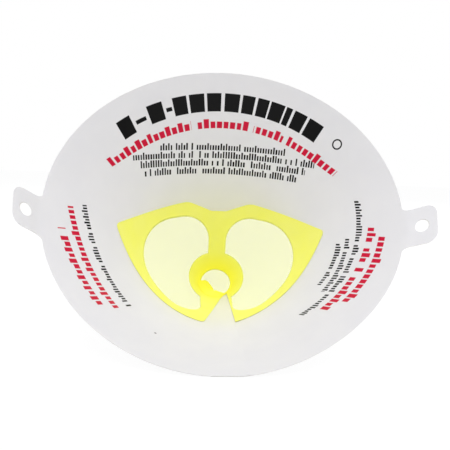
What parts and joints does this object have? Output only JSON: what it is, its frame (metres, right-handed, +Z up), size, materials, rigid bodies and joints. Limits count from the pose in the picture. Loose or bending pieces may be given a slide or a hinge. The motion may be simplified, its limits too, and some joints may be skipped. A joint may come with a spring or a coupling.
{
  "type": "paint strainer",
  "caption": "Disposable card cone with two mesh-covered windows, a small open tip and punched hanging ears, for straining paint into a cup.",
  "frame": {"origin": "centre of the bounding box in plan, at the height of the surface that the cone lies on", "axes": "+Z up with the cone lying on its glued seam, the mouth faces -Y and upwards, the tip lies towards +Y, and the two ears stand out along X"},
  "size_m": [0.186, 0.1346, 0.1319],
  "materials": {
    "card": "coated white card, satin",
    "nylon_mesh": "fine yellow nylon weave, translucent"
  },
  "bodies": {
    "root": {"strainer_cone": "card", "filter_mesh": "nylon_mesh"}
  },
  "joints": []
}
